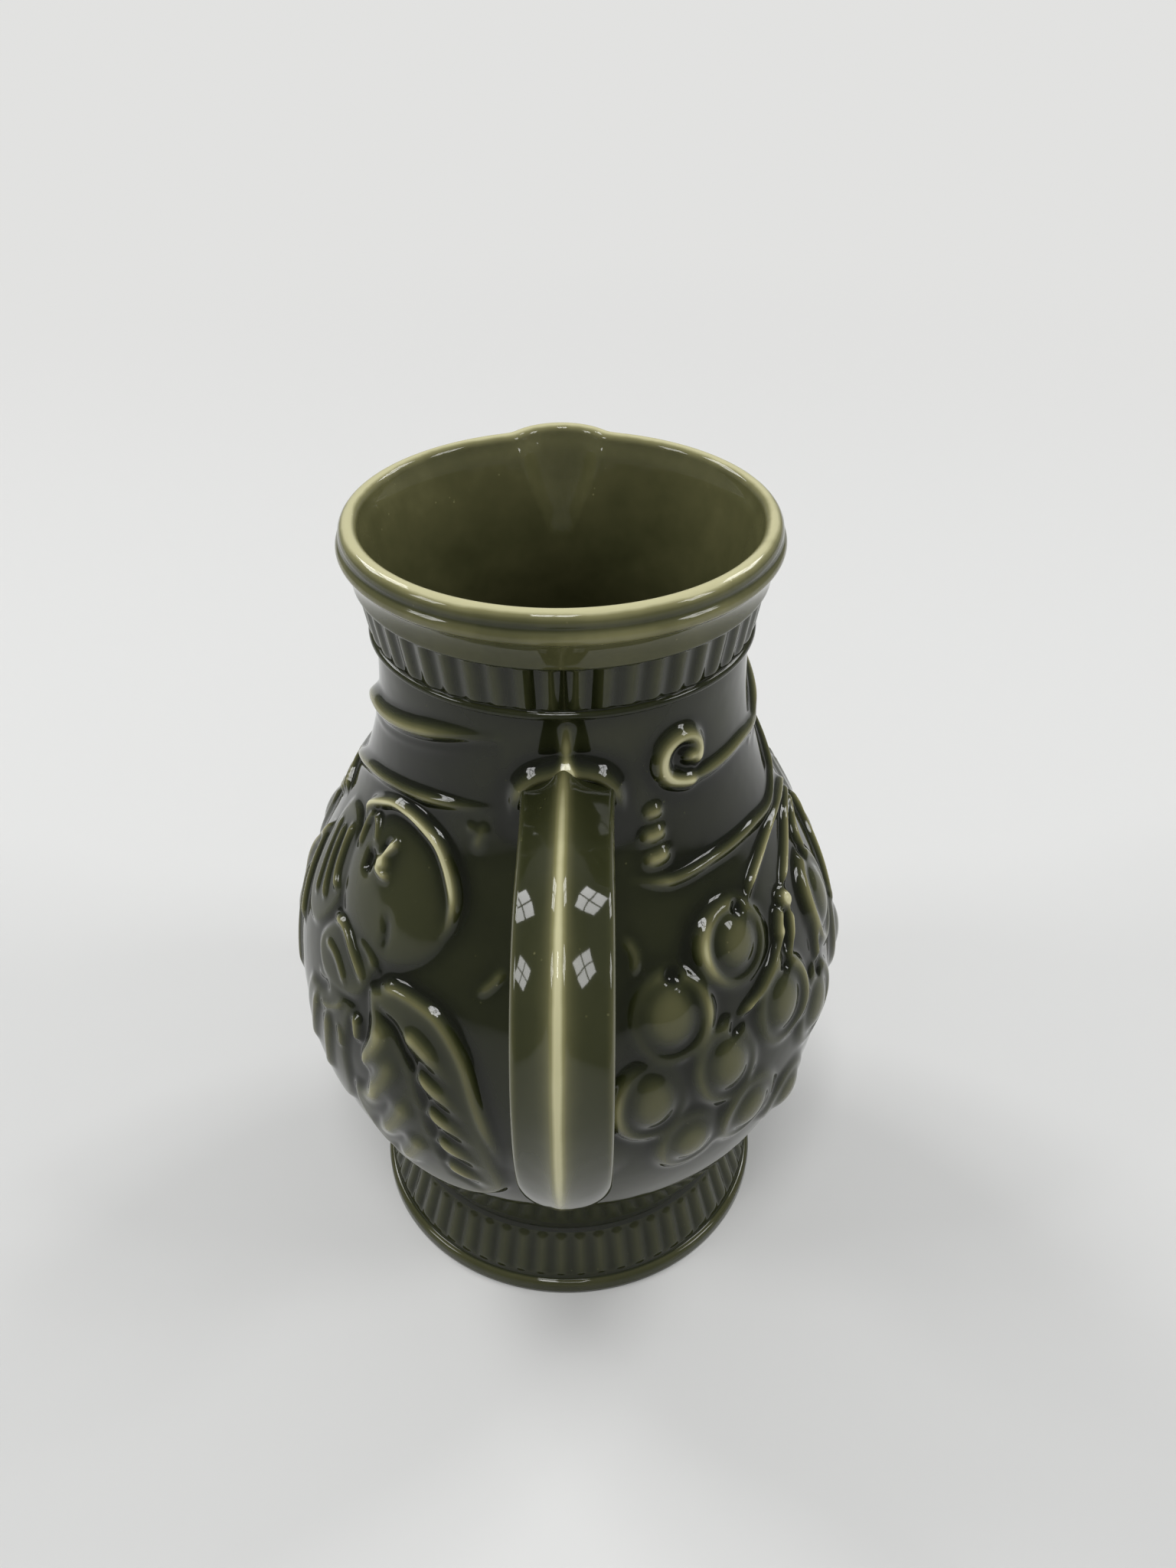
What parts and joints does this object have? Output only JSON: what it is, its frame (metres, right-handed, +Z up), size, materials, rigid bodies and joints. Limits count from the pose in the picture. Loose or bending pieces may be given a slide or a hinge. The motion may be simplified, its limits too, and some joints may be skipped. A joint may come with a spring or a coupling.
{
  "type": "small jug",
  "caption": "Pear-shaped glazed earthenware jug on a ribbed foot, with a keeled strap handle, a rolled rim with a small pouring lip, and moulded relief of ribbons, fruit and leaves.",
  "frame": {"origin": "on the jug's axis, in the plane of the foot ring's flat tread", "axes": "+Z up the jug's axis, -Y towards the handle, +Y towards the pouring lip, +X completes the right hand"},
  "size_m": [0.1204, 0.1493, 0.17],
  "materials": {
    "body_glaze": "glossy translucent olive-green glaze that pools near black in hollows and thins to pale yellow olive on edges",
    "handle_glaze": "glossy translucent olive-green glaze, thinner and lighter, pale along the keel and the two edges",
    "relief_glaze": "glossy olive-green glaze over moulded relief, pale on the crests and dark round the outlines"
  },
  "bodies": {
    "root": {"cherry_1": "relief_glaze", "cherry_10": "relief_glaze", "cherry_11": "relief_glaze", "cherry_2": "relief_glaze", "cherry_3": "relief_glaze", "cherry_4": "relief_glaze", "cherry_5": "relief_glaze", "cherry_6": "relief_glaze", "cherry_7": "relief_glaze", "cherry_8": "relief_glaze", "cherry_9": "relief_glaze", "cherry_buds": "relief_glaze", "cherry_stems": "relief_glaze", "far_cherry_1": "relief_glaze", "far_cherry_10": "relief_glaze", "far_cherry_11": "relief_glaze", "far_cherry_2": "relief_glaze", "far_cherry_3": "relief_glaze", "far_cherry_4": "relief_glaze", "far_cherry_5": "relief_glaze", "far_cherry_6": "relief_glaze", "far_cherry_7": "relief_glaze", "far_cherry_8": "relief_glaze", "far_cherry_9": "relief_glaze", "far_cherry_buds": "relief_glaze", "far_cherry_stems": "relief_glaze", "far_fruit_calyx": "relief_glaze", "far_fruit_stem": "relief_glaze", "far_large_leaf": "relief_glaze", "far_leaf_folds": "relief_glaze", "far_ribbon_folds": "relief_glaze", "far_ribbon_left": "relief_glaze", "far_ribbon_right": "relief_glaze", "far_ribbon_scroll": "relief_glaze", "far_round_fruit": "relief_glaze", "far_small_leaf": "relief_glaze", "foot_ring": "body_glaze", "fruit_calyx": "relief_glaze", "fruit_stem": "relief_glaze", "handle": "handle_glaze", "jug_wall": "body_glaze", "large_leaf": "relief_glaze", "leaf_folds": "relief_glaze", "neck_band": "body_glaze", "pouring_lip": "body_glaze", "ribbon_folds": "relief_glaze", "ribbon_left": "relief_glaze", "ribbon_right": "relief_glaze", "ribbon_scroll": "relief_glaze", "rim_band": "body_glaze", "round_fruit": "relief_glaze", "small_leaf": "relief_glaze"}
  },
  "joints": []
}
